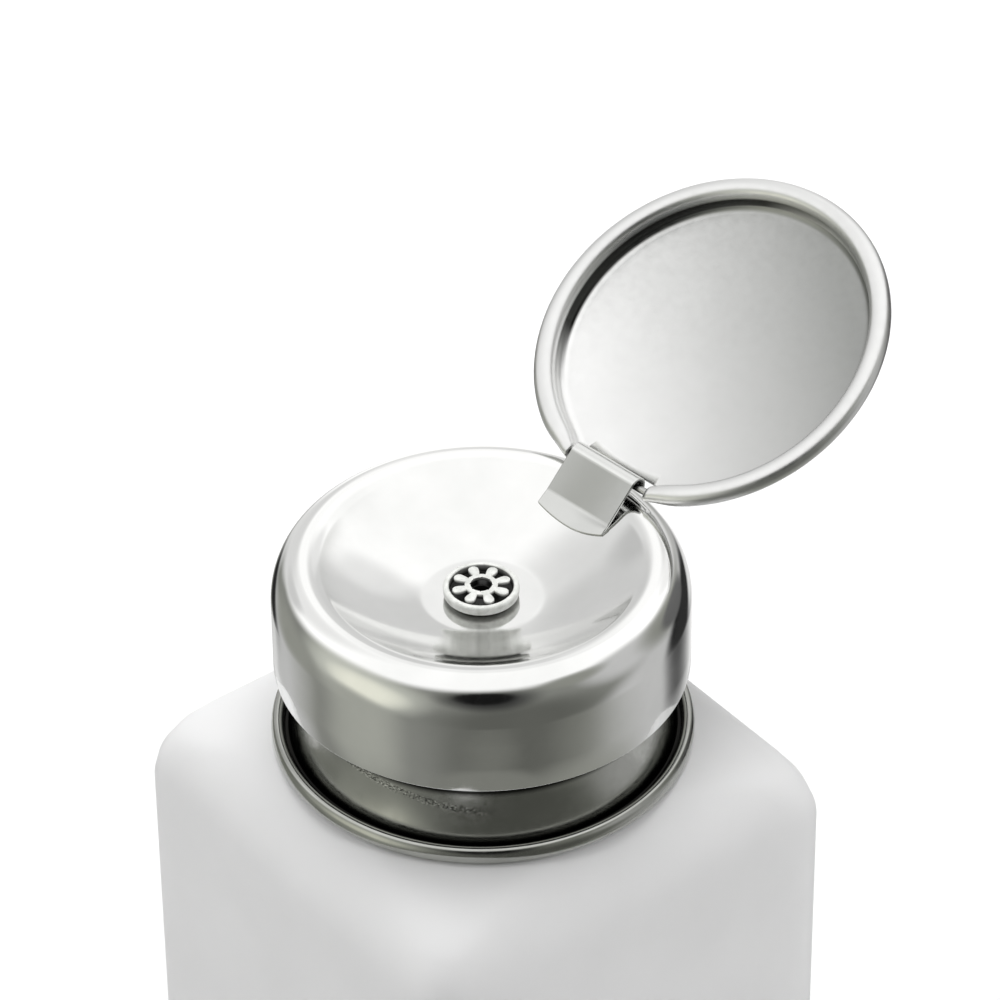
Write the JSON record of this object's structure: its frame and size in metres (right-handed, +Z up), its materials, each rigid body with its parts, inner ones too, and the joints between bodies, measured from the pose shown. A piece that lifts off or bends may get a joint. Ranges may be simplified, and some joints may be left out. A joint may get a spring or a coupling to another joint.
{
  "type": "pump dispenser bottle",
  "caption": "Square plastic bottle with a push-down pump head: a dished metal top with a star-shaped nozzle and a hinged round lid.",
  "frame": {"origin": "middle of the bottle's flat base", "axes": "+Z up along the pump's axis; the bottle's four sides look along X and Y; -Y is the front, and the lid's hinge is at the back, 7 degrees from +Y towards -X"},
  "size_m": [0.059, 0.087, 0.1466],
  "materials": {
    "bottle_plastic": "satin white",
    "cup_steel": "mirror polished stainless",
    "collar_steel": "polished stainless, scuffed where the cup slides",
    "lid_steel": "satin stainless",
    "nozzle_steel": "polished stainless",
    "clip_steel": "satin stainless",
    "wire_steel": "drawn wire",
    "cap_plastic": "grey, moulded",
    "pump_plastic": "natural, translucent",
    "seal_rubber": "black"
  },
  "bodies": {
    "bottle": {"bottle": "bottle_plastic"},
    "pump": {"pump_cylinder": "pump_plastic", "cylinder_cap": "pump_plastic", "stem_wiper": "seal_rubber", "ball_cage": "pump_plastic", "dip_tube": "pump_plastic", "neck_gasket": "seal_rubber", "return_spring": "wire_steel"},
    "closure": {"closure": "cap_plastic", "collar_shell": "collar_steel"},
    "inlet_ball": {"inlet_ball": "wire_steel"},
    "plunger": {"piston_seal": "seal_rubber", "spring_seat": "pump_plastic"},
    "head": {"pump_stem": "pump_plastic", "dish_cup": "cup_steel", "cup_liner": "cap_plastic", "nozzle_ring": "nozzle_steel", "star_insert": "nozzle_steel", "hinge_clip": "clip_steel"},
    "outlet_ball": {"outlet_ball": "wire_steel"},
    "lid": {"lid": "lid_steel", "lid_wire": "wire_steel"}
  },
  "joints": [
    {"name": "pump_lift", "type": "slide", "parent": "bottle", "child": "pump", "axis": [0, 0, 1], "range_m": [0, 0.0048]},
    {"name": "closure_turn", "type": "hinge", "parent": "pump", "child": "closure", "pos_m": [0, 0, 0.1045], "axis": [0, 0, 1], "range_deg": [0, 540]},
    {"name": "inlet_lift", "type": "slide", "parent": "pump", "child": "inlet_ball", "axis": [0, 0, 1], "range_m": [0, 0.001]},
    {"name": "head_press", "type": "slide", "parent": "pump", "child": "plunger", "axis": [0, 0, -1], "range_m": [0, 0.0045], "stiffness_N_per_m": 900, "springref_m": -0.004, "deforming": ["return_spring"]},
    {"name": "head_turn", "type": "hinge", "parent": "plunger", "child": "head", "pos_m": [0, 0, 0.1186], "axis": [0, 0, 1], "continuous": true},
    {"name": "outlet_lift", "type": "slide", "parent": "head", "child": "outlet_ball", "axis": [0, 0, 1], "range_m": [0, 0.0008]},
    {"name": "lid_hinge", "type": "hinge", "parent": "head", "child": "lid", "pos_m": [-0.00253, 0.02065, 0.12561], "axis": [0.9925, 0.1219, 0], "range_deg": [0, 151]}
  ],
  "couplings": [
    {"joint": "closure_turn", "follows": "pump_lift", "rad_per_m": 1963.5}
  ]
}
